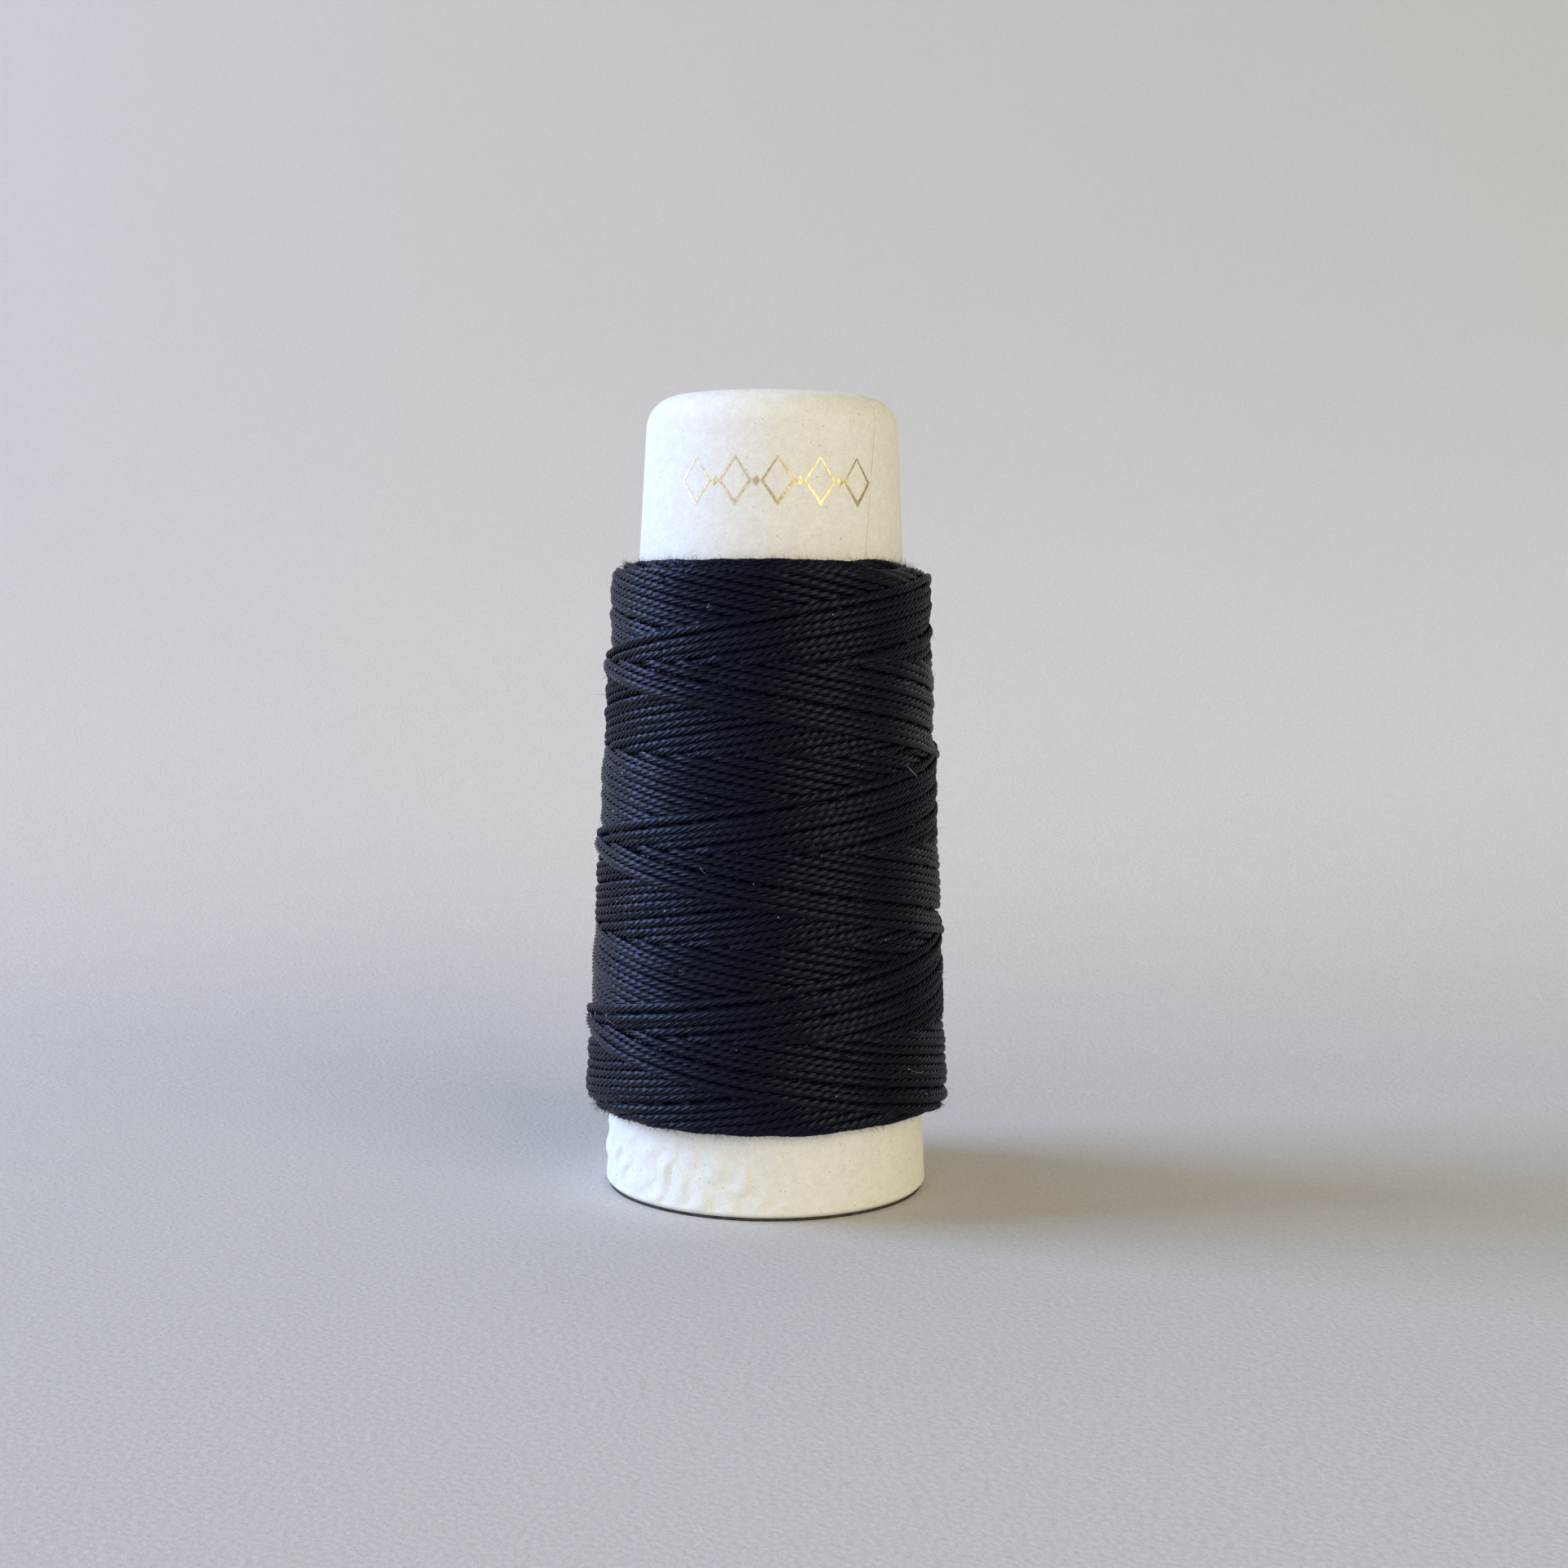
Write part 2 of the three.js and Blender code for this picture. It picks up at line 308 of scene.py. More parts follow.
def build_cover(material):
    """The white cover, with its foot ridges and its seam."""
    foot_arc = np.linspace(-math.pi / 2, 0, FOOT_EDGE_ROWS)
    arc_centre = cone_radius(FOOT_EDGE_ROUND) - FOOT_EDGE_ROUND
    foot = np.stack([
        arc_centre + FOOT_EDGE_ROUND * np.cos(foot_arc),
        FOOT_GAP + FOOT_EDGE_ROUND * (1 + np.sin(foot_arc)),
    ], axis=1)
    ridged = np.arange(FOOT_GAP + FOOT_EDGE_ROUND + COVER_ROW, WINDING_BOTTOM, COVER_ROW)
    hidden = np.linspace(WINDING_BOTTOM, WINDING_TOP, HIDDEN_ROWS)
    bare = np.linspace(WINDING_TOP + COVER_ROW, STRAIGHT_TOP, BARE_ROWS)
    outer = np.concatenate([foot, wall_line(0, np.concatenate([ridged, hidden, bare]))])
    inner_depth = BOARD_DEPTH - PLY_GAP
    inner_heights = np.array([FOOT_GAP, WINDING_BOTTOM, WINDING_TOP])
    inner = wall_line(inner_depth, inner_heights)[::-1]
    outline = np.concatenate([outer, inner])

    steps = np.linalg.norm(np.diff(outer, axis=0), axis=1)
    path = np.concatenate([[0], np.cumsum(steps)])
    inner_path = np.concatenate([inner_heights, path[-ROLL_ROWS:]])[::-1]
    along = np.concatenate([path, inner_path])
    fade_out = smooth_step(path[-1] - RELIEF_FADE_OUT, path[-1], path)
    fade = smooth_step(0, RELIEF_FADE_IN, path) * (1 - fade_out)
    raised = np.concatenate([fade, np.zeros(len(inner))])[:, None]

    # columns run from the seam round to the seam again, with a close one on each side of it
    crack = CRACK_HALF_WIDTH / FOOT_RADIUS
    turn_from_seam = np.concatenate([[0], np.linspace(crack, TURN - crack, COVER_COLUMNS)])[None, :]
    azimuth = seam_azimuth(along)[:, None] + turn_from_seam
    tangent = np.gradient(outline, axis=0)
    normal = np.stack([tangent[:, 1], -tangent[:, 0]], axis=1)
    normal /= np.linalg.norm(normal, axis=1)[:, None]
    height = outline[:, 1][:, None]
    relief = foot_ridges(turn_from_seam, azimuth, height) + seam_relief(turn_from_seam, height)
    relief = relief * raised
    radius = outline[:, 0][:, None] + normal[:, 0][:, None] * relief
    level = height + normal[:, 1][:, None] * relief
    points = around(radius, azimuth, level).reshape(-1, 3)
    faces = grid_faces(len(outline), turn_from_seam.size, True, True)
    cover = make_mesh("cone_cover", points, [faces])
    return finished(cover, material, "cover_paper", "cone_cover_paper")


def build_ply(name, outer_depth, inner_depth, material, slot, node):
    """A plain ply of the wall."""
    heights = np.linspace(0, STRAIGHT_TOP, PLY_ROWS)
    outer = wall_line(outer_depth, heights)
    inner = wall_line(inner_depth, heights)[::-1]
    outline = np.concatenate([outer, inner])
    azimuth = np.linspace(0, TURN, PLY_COLUMNS, endpoint=False)
    points = around(outline[:, 0][:, None], azimuth[None, :], outline[:, 1][:, None] + 0 * azimuth)
    faces = grid_faces(len(outline), len(azimuth), True, True)
    ply = make_mesh(name, points.reshape(-1, 3), [faces])
    return finished(ply, material, slot, node)


# ------------------------------------------------------------------ the foil ornament

def laid_on_cone(across, up, lift, centre_across):
    """A point of the ornament, laid on the cone beside its centre line."""
    row_height = (FOIL_BOTTOM + FOIL_TOP) / 2
    height = row_height + up
    azimuth = ORNAMENT_TURN + (centre_across + across) / cone_radius(row_height)
    return around(cone_radius(height) + lift, azimuth, height)


def lozenge(width, height, steps):
    """Points round a lozenge, starting at its right corner."""
    corners = np.array([[width, 0], [0, height], [-width, 0], [0, -height]]) / 2
    share = np.arange(steps) / steps
    edges = [
        corners[side] + share[:, None] * (corners[(side + 1) % 4] - corners[side])
        for side in range(4)
    ]
    return np.concatenate(edges)


def build_outline(index, material):
    """A lozenge drawn as a foil line that swells towards its foot."""
    outline_height = FOIL_TOP - FOIL_BOTTOM
    outer = lozenge(OUTLINE_WIDTH, outline_height, OUTLINE_EDGE_STEPS)
    stroke = OUTLINE_STROKE * (1 - OUTLINE_SWELL * outer[:, 1] / (outline_height / 2))
    inset = stroke * math.hypot(OUTLINE_WIDTH, outline_height)
    inner = outer * (1 - 2 * inset / (OUTLINE_WIDTH * outline_height))[:, None]
    centre_across = (index - (OUTLINE_COUNT - 1) / 2) * ORNAMENT_PITCH
    top = FOIL_LIFT + FOIL_THICKNESS
    rings = [
        (outer, FOIL_LIFT),
        (outer * FOIL_BEVEL, top),
        (inner, top),
        (inner * FOIL_BEVEL, FOIL_LIFT),
    ]
    points = np.concatenate([
        laid_on_cone(ring[:, 0], ring[:, 1], lift, centre_across) for ring, lift in rings
    ])
    faces = grid_faces(len(rings), len(outer), True, True)
    node = f"foil_lozenge_{index + 1}"
    piece = make_mesh(f"foil_outline_{index + 1}", points, [faces[:, ::-1]], smooth=False)
    return finished(piece, material, "gold_foil", node)


def build_bead(index, material):
    """A small filled foil lozenge."""
    outer = lozenge(BEAD_WIDTH, BEAD_HEIGHT, BEAD_EDGE_STEPS)
    centre_across = (index - (OUTLINE_COUNT - 2) / 2) * ORNAMENT_PITCH
    top = FOIL_LIFT + FOIL_THICKNESS
    rings = [
        (outer, FOIL_LIFT),
        (outer * BEAD_BEVEL, top),
        (outer * BEAD_FLAT, top + BEAD_RISE),
    ]
    points = np.concatenate([
        laid_on_cone(ring[:, 0], ring[:, 1], lift, centre_across) for ring, lift in rings
    ])
    count = len(outer)
    side = grid_faces(len(rings), count, False, True)[:, ::-1]
    cap = (2 * count + np.arange(count))[None, :]
    base = np.arange(count)[None, ::-1]
    piece = make_mesh(f"foil_spot_{index + 1}", points, [side, cap, base], smooth=False)
    return finished(piece, material, "gold_foil", f"foil_bead_{index + 1}")


# ------------------------------------------------------------------ winding the thread

PATH_STEP = 0.24               # along the thread, between two points of its path
PATH_TURN = PATH_STEP / cone_radius(WINDING_BOTTOM)
FOOTPRINT_POINTS = 9           # across the thread, where it meets the bed
FOOTPRINT_REACH = 0.98         # just short of its edges, where its section would be upright
FOOTPRINT = np.linspace(-THREAD_HALF_WIDTH, THREAD_HALF_WIDTH, FOOTPRINT_POINTS)
SECTION = THREAD_HALF_HEIGHT * np.sqrt(1 - (FOOTPRINT_REACH * FOOTPRINT / THREAD_HALF_WIDTH) ** 2)
CELL_HEIGHT = 0.08
MAP_COLUMNS = 400
MAP_MARGIN = 1.0
BRIDGE = 6                     # path points that a taut thread can bridge to each side
SHOWN_DEPTH = 0.03             # a thread this far under the top still shows
SHOWN_SHARE = 0.1              # of its width that must show for its plies to be modelled
SHOWN_REACH = 8                # path points that a shown stretch runs on, under its neighbours
OUTER_PIECES = 11              # the shown thread is divided so that no mesh is too heavy
LONGEST_STRETCH = 1500         # path points
SHOWN_STEP = 2                 # path points from each ring of a shown tube to the next
SHOWN_SIDES = 3 * PLY_COUNT
BURIED_STEP = 8
BURIED_SIDES = 6


def thread_path(random):
    """Azimuth and height of every point of the thread, and the number of its stroke."""
    strokes = 2 * DOUBLE_STROKES
    reversal = np.arange(strokes + 1)
    inner = reversal[1:] <= 2 * (DOUBLE_STROKES - OUTER_STROKES)
    stroke_turn = TURNS_PER_STROKE * TURN - np.where(inner, INNER_SHIFT, OUTER_SHIFT) / 2
    reversal_turn = np.concatenate([[0], np.cumsum(stroke_turn)])
    reversal_turn += LAST_REVERSAL - reversal_turn[-2]
    reversal_turn += random.normal(0, LINE_SCATTER, strokes + 1)
    short = EDGE_SCATTER * random.random(strokes + 1) ** 2
    at_top = reversal % 2 == 1
    low = WINDING_BOTTOM + THREAD_HALF_WIDTH + short
    shoulder = TOP_SHOULDER * reversal / strokes
    high = WINDING_TOP + TOP_RISE - THREAD_HALF_WIDTH - short - shoulder
    reversal_height = np.where(at_top, high, low)
    azimuth = np.arange(reversal_turn[0], reversal_turn[-1], PATH_TURN)
    height = np.interp(azimuth, reversal_turn, reversal_height)
    window = np.hanning(int(REVERSAL_WIDTH / PATH_TURN) | 1)
    padded = np.pad(height, len(window) // 2, mode="edge")
    height = np.convolve(padded, window / window.sum(), mode="valid")
    stroke = np.searchsorted(reversal_turn, azimuth, side="right") - 1
    return azimuth, height, stroke


def bridged(lift):
    """The lift of a taut thread over a bumpy bed: it spans hollows in flat arcs."""
    sag = (np.arange(-BRIDGE, BRIDGE + 1) * PATH_STEP) ** 2 / (2 * FOOT_RADIUS)
    padded = np.pad(lift, BRIDGE, mode="edge")
    window = np.lib.stride_tricks.sliding_window_view(padded, 2 * BRIDGE + 1)
    reached = (window - sag).max(axis=1)
    padded = np.pad(reached, BRIDGE, mode="edge")
    window = np.lib.stride_tricks.sliding_window_view(padded, 2 * BRIDGE + 1)
    return (window + sag).min(axis=1)


def wind(azimuth, height, stroke):
    """Lays the thread stroke by stroke; gives the lift of its centre, and how far it shows."""
    rows = int((WINDING_TOP - WINDING_BOTTOM + 2 * MAP_MARGIN) / CELL_HEIGHT) + 1
    bed = np.zeros((MAP_COLUMNS, rows))
    column = np.floor(azimuth % TURN / TURN * MAP_COLUMNS).astype(int) % MAP_COLUMNS
    across = height[:, None] + FOOTPRINT - WINDING_BOTTOM + MAP_MARGIN
    row = (across / CELL_HEIGHT).astype(int)
    lift = np.zeros(len(azimuth))
    for number in range(stroke.max() + 1):
        chosen = np.flatnonzero(stroke == number)
        cells = (column[chosen][:, None], row[chosen])
        hard = (bed[cells] + SECTION).max(axis=1)
        soft = bed[cells].mean(axis=1) + THREAD_HALF_HEIGHT
        rest = THREAD_HARDNESS * hard + (1 - THREAD_HARDNESS) * soft - THREAD_SQUASH
        centre = bridged(np.maximum(rest, THREAD_HALF_HEIGHT))
        lift[chosen] = centre
        every_cell = (np.broadcast_to(cells[0], cells[1].shape), cells[1])
        np.maximum.at(bed, every_cell, centre[:, None] + SECTION)
    shown = (lift[:, None] + SECTION >= bed[column[:, None], row] - SHOWN_DEPTH).mean(axis=1)
    return lift, shown


def tube(points, outward, along, sides, plies):
    """A thread as a closed tube whose section turns with the twist of its plies."""
    tangent = np.gradient(points, axis=0)
    tangent /= np.linalg.norm(tangent, axis=1)[:, None]
    across = np.cross(tangent, outward)
    across /= np.linalg.norm(across, axis=1)[:, None]
    out = np.cross(across, tangent)
    corner = np.arange(sides)
    angle = TURN * corner[None, :] / sides + TURN * along[:, None] / TWIST_PITCH
    groove = (corner % (sides // plies) == 0) * GROOVE_DEPTH if plies else 0 * corner
    reach = 1 - groove
    wide = THREAD_HALF_WIDTH * reach * np.cos(angle)
    tall = THREAD_HALF_HEIGHT * reach * np.sin(angle)
    offset = wide[:, :, None] * across[:, None, :] + tall[:, :, None] * out[:, None, :]
    return (points[:, None, :] + offset).reshape(-1, 3)


def tube_corners(count, sides, along):
    """Faces of one closed tube and the (along, around) place of each face corner."""
    quads = grid_faces(count, sides, False, True)
    ring, corner = np.divmod(quads, sides)
    # the last face of a ring closes at 1 instead of going back to 0
    corner = np.where((corner == 0) & (quads[:, :1] % sides == sides - 1), sides, corner)
    quad_uv = np.stack([along[ring], corner / sides], axis=-1)
    first = np.arange(sides)[::-1][None, :]
    last = (count - 1) * sides + np.arange(sides)[None, :]
    cap_uv = np.stack([np.full((2, sides), along[0]), np.full((2, sides), 0.5)], axis=-1)
    return quads, quad_uv, np.concatenate([first, last]), cap_uv


def runs_of(flag):
    """First and past-the-last index of each run of True."""
    edges = np.flatnonzero(np.diff(np.concatenate([[0], flag.astype(int), [0]])))
    return edges.reshape(-1, 2)


def cut_up(runs, longest):
    """The same runs, with long ones cut into stretches that share their end points."""
    stretches = []
    for first, end in runs:
        count = math.ceil((end - first) / longest)
        cuts = np.linspace(first, end - 1, count + 1).astype(int)
        stretches.extend(zip(cuts[:-1], cuts[1:] + 1))
    return stretches


def widened(flag, reach):
    """A flag that also holds for this many neighbours to each side."""
    return np.convolve(flag, np.ones(2 * reach + 1), mode="same") > 0


def thread_piece(name, place, outward, along, runs, step, sides, plies):
    """One mesh of several stretches of thread."""
    points, quads, caps, quad_uv, cap_uv = [], [], [], [], []
    offset = 0
    for first, end in runs:
        chosen = np.unique(np.append(np.arange(first, end, step), end - 1))
        if len(chosen) < 3:
            continue
        ring = tube(place[chosen], outward[chosen], along[chosen], sides, plies)
        sheath, face_uv, ends, end_uv = tube_corners(len(chosen), sides, along[chosen])
        points.append(ring)
        quads.append(sheath + offset)
        caps.append(ends + offset)
        quad_uv.append(face_uv.reshape(-1, 2))
        cap_uv.append(end_uv.reshape(-1, 2))
        offset += len(ring)
    corner_uv = np.concatenate(quad_uv + cap_uv)
    faces = [np.concatenate(quads), np.concatenate(caps)]
    return make_mesh(name, np.concatenate(points), faces, corner_uv)


def build_thread(material):
    """The whole thread: shown stretches with their plies, and plain ones where it is buried.
    Gives the place and the outward direction of every point that shows."""
    random = np.random.default_rng(RANDOM_SEED)
    azimuth, height, stroke = thread_path(random)
    lift, shown = wind(azimuth, height, stroke)
    place = around(cone_radius(height) + lift, azimuth, height)
    flat = np.full(len(azimuth), math.sin(TAPER_ANGLE))
    outward = around(math.cos(TAPER_ANGLE), azimuth, flat)
    step_length = np.linalg.norm(np.diff(place, axis=0), axis=1)
    along = np.concatenate([[0], np.cumsum(step_length)])

    seen = widened(shown > SHOWN_SHARE, SHOWN_REACH)
    stretches = cut_up(runs_of(seen), LONGEST_STRETCH)
    points_so_far = np.cumsum([end - first for first, end in stretches])
    group = points_so_far * OUTER_PIECES // (points_so_far[-1] + 1)
    for number in range(OUTER_PIECES):
        name = f"thread_outer_turns_{number + 1}"
        chosen = [stretch for stretch, its_group in zip(stretches, group) if its_group == number]
        piece = thread_piece(
            name, place, outward, along, chosen, SHOWN_STEP, SHOWN_SIDES, PLY_COUNT,
        )
        finished(piece, material, "cotton_thread", "thread_last_layer")
    inner = thread_piece(
        "thread_inner_turns", place, outward, along, runs_of(~seen), BURIED_STEP, BURIED_SIDES, 0,
    )
    finished(inner, material, "cotton_thread", "thread_first_layers")
    return place[seen], outward[seen]


# ------------------------------------------------------------------ fuzz and lint

def unit(vectors):
    """Vectors of length 1."""
    return vectors / np.linalg.norm(vectors, axis=-1, keepdims=True)


def hairs(name, start, direction, bend, length, radius, random):
    """One mesh of many thin hairs, each a closed tube on an arc that narrows to its tip."""
    side = unit(np.cross(direction, random.normal(size=start.shape)))
    third = np.cross(direction, side)
    share = np.linspace(0, 1, HAIR_POINTS)[None, :, None]
    angle = share * (length * bend)[:, None, None]
    forward = np.sin(angle) * direction[:, None, :] + (1 - np.cos(angle)) * side[:, None, :]
    line = start[:, None, :] + forward / bend[:, None, None]

    # a hair that meets the paper lies on it
    out = np.linalg.norm(line[:, :, :2], axis=2)
    least = cone_radius(line[:, :, 2]) + SEAM_STEP + 2 * radius
    line[:, :, :2] *= np.maximum(1, least / out)[:, :, None]

    corner = TURN * np.arange(HAIR_SIDES)[None, None, :, None] / HAIR_SIDES
    ring = np.cos(corner) * side[:, None, None, :] + np.sin(corner) * third[:, None, None, :]
    thick = (radius * (1 - HAIR_TAPER * share))[:, :, :, None]
    points = line[:, :, None, :] + thick * ring
    tube_faces = grid_faces(HAIR_POINTS, HAIR_SIDES, False, True)
    first_ring = np.arange(HAIR_SIDES)[::-1]
    last_ring = (HAIR_POINTS - 1) * HAIR_SIDES + np.arange(HAIR_SIDES)
    hair_start = (np.arange(len(start)) * HAIR_POINTS * HAIR_SIDES)[:, None, None]
    sides = (hair_start + tube_faces).reshape(-1, 4)
    ends = (hair_start + np.stack([first_ring, last_ring])).reshape(-1, HAIR_SIDES)
    return make_mesh(name, points.reshape(-1, 3), [sides, ends])


def build_fuzz(place, outward, material):
    """Cotton hairs that stand off the thread, and more of them round the winding's two edges."""
    random = np.random.default_rng(RANDOM_SEED + 1)
    surface = random.integers(len(place), size=SURFACE_HAIRS)
    height = place[:, 2]
    from_edge = np.minimum(height - WINDING_BOTTOM, WINDING_TOP - height)
    at_edge = random.choice(np.flatnonzero(from_edge < EDGE_BAND), size=EDGE_HAIRS)
    picked = np.concatenate([surface, at_edge])
    start = place[picked] + HAIR_ROOT * THREAD_HALF_HEIGHT * outward[picked]
    away = np.zeros((len(picked), 3))
    middle = (WINDING_BOTTOM + WINDING_TOP) / 2
    away[SURFACE_HAIRS:, 2] = np.sign(height[at_edge] - middle)
    spread = random.normal(0, HAIR_SPREAD, (len(picked), 3))
    direction = unit(away + spread + OUTWARD_PULL * outward[picked])
    bend = random.uniform(*HAIR_BEND, len(picked))
    length = random.uniform(*HAIR_LENGTH, len(picked))
    fuzz = hairs("thread_fuzz", start, direction, bend, length, HAIR_RADIUS, random)
    return finished(fuzz, material, "cotton_thread")


def build_lint(place, outward, material):
    """Specks of paper dust and a few pale hairs caught on the thread."""
    random = np.random.default_rng(RANDOM_SEED + 2)
    count = SPECK_COUNT + PALE_HAIRS
    picked = random.integers(len(place), size=count)
    is_hair = np.arange(count) >= SPECK_COUNT
    start = place[picked] + LINT_ROOT * THREAD_HALF_HEIGHT * outward[picked]
    spread = random.normal(0, LINT_SPREAD, (count, 3))
    direction = unit(spread + OUTWARD_PULL * outward[picked])
    bend = random.uniform(*LINT_BEND, count)
    hair_length = random.uniform(*PALE_HAIR_LENGTH, count)
    speck_length = random.uniform(*SPECK_LENGTH, count)
    length = np.where(is_hair, hair_length, speck_length)
    kinds = [("lint_specks", ~is_hair, SPECK_RADIUS), ("lint_hairs", is_hair, PALE_HAIR_RADIUS)]
    for name, kind, radius in kinds:
        piece = hairs(name, start[kind], direction[kind], bend[kind], length[kind], radius, random)
        finished(piece, material, "cover_paper")


# ------------------------------------------------------------------ materials

def new_material(name, base, roughness):
    """A material with its shader's plain values set."""
    material = bpy.data.materials.new(name)
    material.use_nodes = True
    shader = material.node_tree.nodes["Principled BSDF"]
    shader.inputs["Base Color"].default_value = (*base, 1)
    shader.inputs["Roughness"].default_value = roughness
    return material, material.node_tree, shader


def noise(tree, size, detail=3.0, vector=None):
    """A noise whose blotches are about this many millimetres across."""
    texture = tree.nodes.new("ShaderNodeTexNoise")
    texture.inputs["Scale"].default_value = 1 / (size * MM)
    texture.inputs["Detail"].default_value = detail
    if vector is None:
        vector = tree.nodes.new("ShaderNodeTexCoord").outputs["Object"]
    tree.links.new(vector, texture.inputs["Vector"])
    return texture.outputs["Fac"]


def ramp(tree, value, stops):
    """A colour ramp through (position, colour) stops."""
    node = tree.nodes.new("ShaderNodeValToRGB")
    elements = node.color_ramp.elements
    while len(elements) < len(stops):
        elements.new(0.5)
    for element, (position, colour) in zip(elements, stops):
        element.position = position
        element.color = (*colour, 1)
    tree.links.new(value, node.inputs["Fac"])
    return node.outputs["Color"]


def bump(tree, shader, height, distance, strength=1.0):
    """Adds relief of this depth, in millimetres, over what the shader already has."""
    node = tree.nodes.new("ShaderNodeBump")
    node.inputs["Distance"].default_value = distance * MM
    node.inputs["Strength"].default_value = strength
    tree.links.new(height, node.inputs["Height"])
    before = shader.inputs["Normal"].links
    if before:
        tree.links.new(before[0].from_socket, node.inputs["Normal"])
    tree.links.new(node.outputs["Normal"], shader.inputs["Normal"])


def mixed(tree, kind, share, first, second):
    """Two colours blended by a share, which is a number or a socket."""
    node = tree.nodes.new("ShaderNodeMix")
    node.data_type = "RGBA"
    node.blend_type = kind
    for key, value in (("Factor", share), ("A", first), ("B", second)):
        socket = [s for s in node.inputs if s.name == key and s.enabled][0]
        if isinstance(value, bpy.types.NodeSocket):
            tree.links.new(value, socket)
        else:
            socket.default_value = value
    return [s for s in node.outputs if s.enabled][0]


def cover_material():
    """Uncoated white paper: a faint cloudy formation, a fine grain and tiny grey specks."""
    material, tree, shader = new_material("cover_paper", (0.84, 0.82, 0.77), 0.68)
    cloud_stops = [(0.34, (0.82, 0.81, 0.76)), (0.66, (0.88, 0.88, 0.84))]
    grain_stops = [(0.3, (0.9, 0.9, 0.89)), (0.6, (1, 1, 1))]
    speck_stops = [(0.15, (0.35, 0.33, 0.30)), (0.21, (1, 1, 1))]
    cloud = ramp(tree, noise(tree, 0.7, 4), cloud_stops)
    grain = ramp(tree, noise(tree, 0.16, 2), grain_stops)
    specks = ramp(tree, noise(tree, 0.26, 0), speck_stops)
    colour = mixed(tree, "MULTIPLY", 1.0, cloud, grain)
    colour = mixed(tree, "MULTIPLY", 0.5, colour, specks)
    tree.links.new(colour, shader.inputs["Base Color"])
    bump(tree, shader, noise(tree, 0.22, 3), 0.02)
    bump(tree, shader, noise(tree, 2.2, 2), 0.06)
    return material


def board_material_with_painted_shade():
    """Grey chipboard, with the fibres of its waste paper, painted near black: its own grey darkened
    into painted shade, so that its edge under the cover's foot reads as the shadowed gap.
    """
    # the base colour and the ramp below are painted shade: far darker than the board's own grey, for
    # the shadowed gap under the foot
    material, tree, shader = new_material("grey_board", (0.06, 0.06, 0.055), 0.9)
    stops = [(0.35, (0.04, 0.04, 0.036)), (0.65, (0.085, 0.083, 0.076))]
    colour = ramp(tree, noise(tree, 0.5, 5), stops)
    tree.links.new(colour, shader.inputs["Base Color"])
    bump(tree, shader, noise(tree, 0.2, 4), 0.05)
    return material


def liner_material():
    """Brown kraft paper."""
    material, tree, shader = new_material("kraft_liner", (0.42, 0.30, 0.19), 0.85)
    stops = [(0.3, (0.36, 0.255, 0.155)), (0.7, (0.49, 0.36, 0.23))]
    colour = ramp(tree, noise(tree, 0.9, 5), stops)
    tree.links.new(colour, shader.inputs["Base Color"])
    bump(tree, shader, noise(tree, 0.3, 4), 0.03)
    return material


def foil_material():
    """Hot-stamped gold foil over the paper's grain."""
    material, tree, shader = new_material("gold_foil", (0.66, 0.55, 0.35), 0.42)
    shader.inputs["Metallic"].default_value = 1
    stops = [(0.35, (0.54, 0.43, 0.24)), (0.65, (0.80, 0.68, 0.46))]
    colour = ramp(tree, noise(tree, 0.3, 3), stops)
    tree.links.new(colour, shader.inputs["Base Color"])
    bump(tree, shader, noise(tree, 0.25, 3), 0.02)
    return material


def cotton_material():
    """Navy cotton: fine fibres along the thread, a soft sheen and a little unevenness of dye."""
    material, tree, shader = new_material("navy_cotton", (0.002, 0.0025, 0.004), 0.29)
    shader.inputs["Sheen Weight"].default_value = 0.09
    shader.inputs["Sheen Roughness"].default_value = 0.35
    shader.inputs["Sheen Tint"].default_value = (0.10, 0.19, 1.0, 1)
    shader.inputs["Specular IOR Level"].default_value = 0.32
    shader.inputs["Specular Tint"].default_value = (0.50, 0.59, 0.92, 1)
    place = tree.nodes.new("ShaderNodeUVMap")
    place.uv_map = "lay"
    stretch = tree.nodes.new("ShaderNodeMapping")
    stretch.inputs["Scale"].default_value = (0.5 * MM, 36 * MM, 1)
    tree.links.new(place.outputs["UV"], stretch.inputs["Vector"])
    fibre = noise(tree, 1.0, 2, stretch.outputs["Vector"])
    streak = ramp(tree, fibre, [(0.3, (0.0005, 0.0005, 0.0008)), (0.7, (0.003, 0.003, 0.0045))])
    dye = ramp(tree, noise(tree, 2.5, 2), [(0.3, (0.8, 0.8, 0.8)), (0.7, (1, 1, 1))])
    colour = mixed(tree, "MULTIPLY", 0.7, streak, dye)
    tree.links.new(colour, shader.inputs["Base Color"])
    worn = ramp(tree, fibre, [(0.3, (0.22, 0.22, 0.22)), (0.7, (0.36, 0.36, 0.36))])
    tree.links.new(worn, shader.inputs["Roughness"])
    bump(tree, shader, fibre, 0.04)
    return material


def lint_material():
    """Off-white dust and fibre."""
    material, tree, shader = new_material("pale_lint", (0.72, 0.69, 0.62), 0.8)
    stops = [(0.3, (0.55, 0.53, 0.48)), (0.7, (0.85, 0.83, 0.78))]
    colour = ramp(tree, noise(tree, 0.8, 2), stops)
    tree.links.new(colour, shader.inputs["Base Color"])
    return material


# ------------------------------------------------------------------ stage, lights, camera

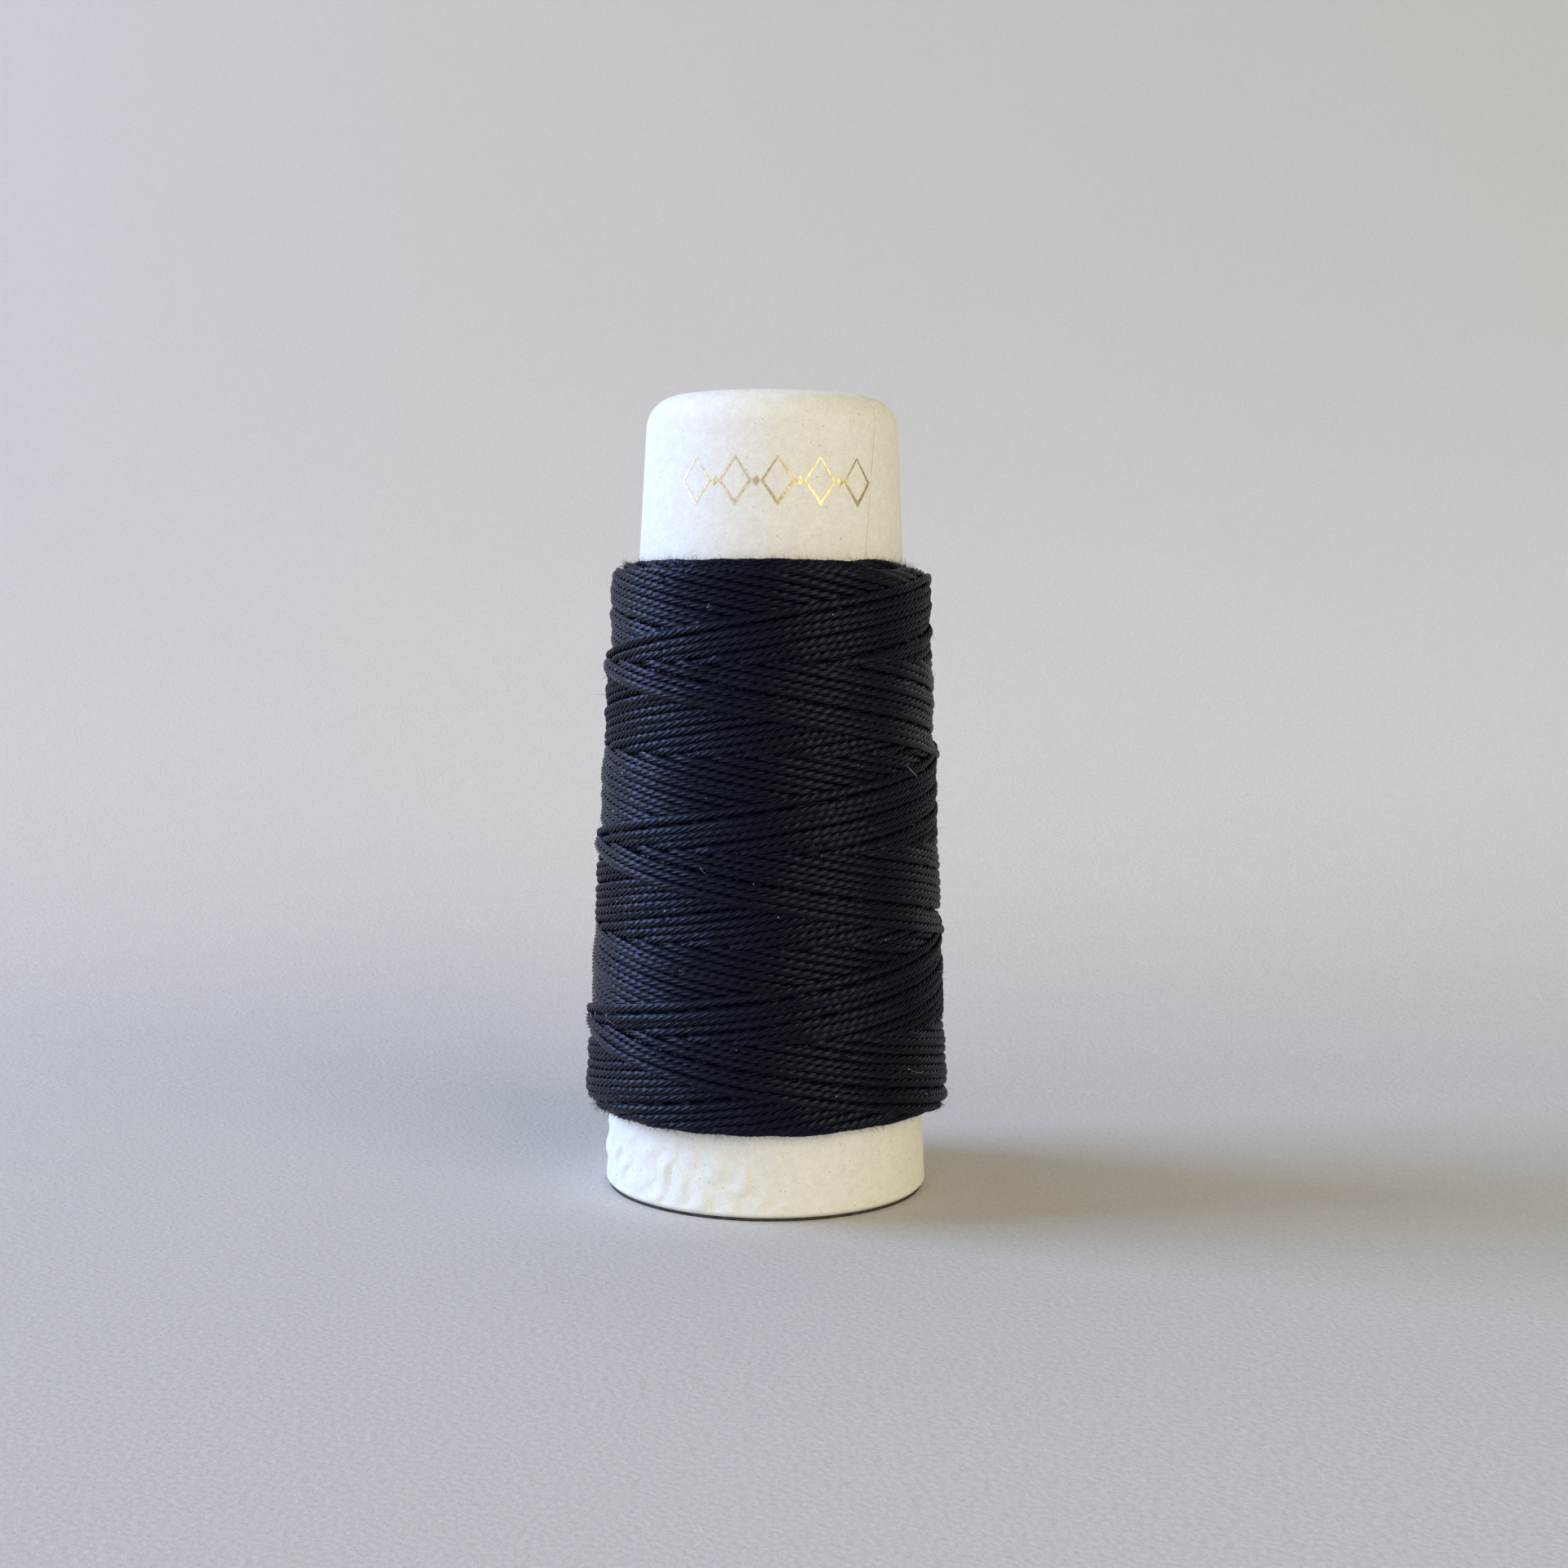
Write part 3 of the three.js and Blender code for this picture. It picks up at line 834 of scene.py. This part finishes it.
def build_stage():
    """A seamless sheet of pale grey paper, flat under the object and swept up behind it."""
    half_width = 2500
    front = -4000
    back = 30
    bend = 900
    wall_top = 2500
    bend_rows = 33
    angle = np.linspace(-math.pi / 2, 0, bend_rows)
    floor = np.array([[front, 0], [back, 0]])
    curve = np.stack([back + bend * np.cos(angle), bend * (1 + np.sin(angle))], axis=1)
    wall = np.array([[back + bend, wall_top]])
    outline = np.concatenate([floor, curve, wall])
    across = np.array([-half_width, half_width])
    points = np.stack(np.broadcast_arrays(across[None, :], outline[:, :1], outline[:, 1:]), axis=-1)
    faces = grid_faces(len(outline), 2, False, False)
    sheet = make_mesh("backdrop", points.reshape(-1, 3), [faces])
    material, tree, shader = new_material("backdrop_paper", (0.64, 0.62, 0.60), 0.9)
    stops = [(0.3, (0.56, 0.535, 0.50)), (0.7, (0.64, 0.615, 0.58))]
    grain = ramp(tree, noise(tree, 0.45, 2), stops)
    tree.links.new(grain, shader.inputs["Base Color"])
    bump(tree, shader, noise(tree, 0.5, 3), 0.08)
    sheet.data.materials.append(material)


def add_light(name, azimuth, elevation, distance, size, power, colour, aim=(0, 0, 35)):
    """A soft rectangular light that shines at a point in millimetres. Its direction from that
    point is in degrees, and its distance is measured from that point too."""
    data = bpy.data.lights.new(name, "AREA")
    data.shape = "RECTANGLE"
    data.size = size[0] * MM
    data.size_y = size[1] * MM
    data.energy = power
    data.color = colour
    azimuth = math.radians(azimuth)
    elevation = math.radians(elevation)
    flat = math.cos(elevation)
    direction = Vector((flat * math.sin(azimuth), -flat * math.cos(azimuth), math.sin(elevation)))
    light = bpy.data.objects.new(name, data)
    light.location = (Vector(aim) + distance * direction) * MM
    light.rotation_euler = direction.to_track_quat("Z", "Y").to_euler()
    bpy.context.scene.collection.objects.link(light)


def build_lights():
    """A cool window on the left, more sky in front of it, a warm room on the right, and a
    lamp behind the cone on the right that shines back on the sweep."""
    add_light("window", azimuth=-94, elevation=27, distance=2300, size=(1250, 1250), power=63,
              colour=(0.49, 0.65, 1.0))
    add_light("sky", azimuth=-43, elevation=17, distance=2100, size=(2400, 1200), power=13.2,
              colour=(0.79, 0.83, 1.0))
    add_light("room", azimuth=38, elevation=19, distance=2200, size=(1700, 1300), power=25,
              colour=(1.0, 0.87, 0.57))
    add_light("sweep_light", azimuth=7.5, elevation=15, distance=396, size=(900, 120), power=0.36,
              colour=(1.0, 0.93, 0.84), aim=(150, 500, 120))
    world = bpy.data.worlds.new("room")
    world.use_nodes = True
    background = world.node_tree.nodes["Background"]
    background.inputs["Color"].default_value = (1.0, 0.93, 0.77, 1)
    background.inputs["Strength"].default_value = 0.27
    bpy.context.scene.world = world
    bpy.context.scene.view_settings.view_transform = "Standard"


def build_camera():
    """A long lens a little above the middle of the cone, tipped down and rolled slightly."""
    data = bpy.data.cameras.new("camera")
    data.sensor_width = 36
    data.lens = 50.3
    data.shift_x = 0.0095
    data.clip_start = 0.01
    data.clip_end = 20
    distance = 195.3
    height = 51.43
    tipped_down = math.radians(4.549)
    rolled = math.radians(0.538)
    camera = bpy.data.objects.new("camera", data)
    place = Matrix.Translation((0, -distance * MM, height * MM))
    pitch = Matrix.Rotation(math.radians(90) - tipped_down, 4, "X")
    roll = Matrix.Rotation(rolled, 4, "Z")
    camera.matrix_world = place @ pitch @ roll
    bpy.context.scene.collection.objects.link(camera)
    bpy.context.scene.camera = camera


# ------------------------------------------------------------------ the scene

foil = foil_material()
cotton = cotton_material()
build_cover(cover_material())
build_ply(
    "cone_board_ply", BOARD_DEPTH, LINER_DEPTH - PLY_GAP,
    board_material_with_painted_shade(), "grey_board", "cone_board",
)
build_ply(
    "cone_liner", LINER_DEPTH, WALL_THICKNESS,
    liner_material(), "kraft_liner", "cone_liner_paper",
)
for index in range(OUTLINE_COUNT):
    build_outline(index, foil)
for index in range(OUTLINE_COUNT - 1):
    build_bead(index, foil)
thread_place, thread_outward = build_thread(cotton)
build_fuzz(thread_place, thread_outward, cotton)
build_lint(thread_place, thread_outward, lint_material())
build_stage()
build_lights()
build_camera()
